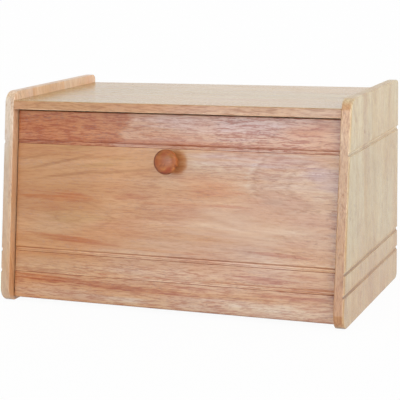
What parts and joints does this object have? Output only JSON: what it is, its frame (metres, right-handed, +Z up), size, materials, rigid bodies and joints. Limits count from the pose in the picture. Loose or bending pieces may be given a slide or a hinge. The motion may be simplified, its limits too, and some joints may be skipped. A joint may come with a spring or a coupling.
{
  "type": "bread bin",
  "caption": "Wooden bread bin with a leaning drop-front door on a hinge at its foot, turned knob, magnetic catches, and a shelf top set between two grooved side panels.",
  "frame": {"origin": "middle of the footprint, on the worktop", "axes": "+X to the right across the front, +Y from the door to the back, +Z up"},
  "size_m": [0.41, 0.2444, 0.241],
  "materials": {
    "side_wood": "satin lacquer",
    "board_wood": "satin lacquer",
    "door_wood": "satin lacquer",
    "knob_wood": "satin lacquer",
    "dowel_wood": "fluted beech, bare",
    "screw_steel": "zinc plated",
    "pin_steel": "bright drawn",
    "disc_steel": "zinc plated",
    "magnet_plate": "bright nickel",
    "bush_plastic": "natural nylon"
  },
  "bodies": {
    "carcass": {"left_side_panel": "side_wood", "right_side_panel": "side_wood", "top_board": "board_wood", "base_board": "board_wood", "back_panel": "board_wood", "door_stop_rail": "board_wood", "stop_rail_screws": "screw_steel", "back_panel_screws": "screw_steel", "left_hinge_pin": "pin_steel", "right_hinge_pin": "pin_steel", "left_catch_magnet": "magnet_plate", "right_catch_magnet": "magnet_plate", "top_board_left_dowels": "dowel_wood", "top_board_right_dowels": "dowel_wood", "base_board_left_dowels": "dowel_wood", "base_board_right_dowels": "dowel_wood"},
    "door": {"door_panel": "door_wood", "door_knob": "knob_wood", "knob_screw": "screw_steel", "left_hinge_bush": "bush_plastic", "right_hinge_bush": "bush_plastic", "left_strike_disc": "disc_steel", "right_strike_disc": "disc_steel", "strike_disc_screws": "screw_steel"}
  },
  "joints": [
    {"name": "door_hinge", "type": "hinge", "parent": "carcass", "child": "door", "pos_m": [0, -0.10604, 0.01206], "axis": [1, 0, 0], "range_deg": [0, 92.5]}
  ]
}
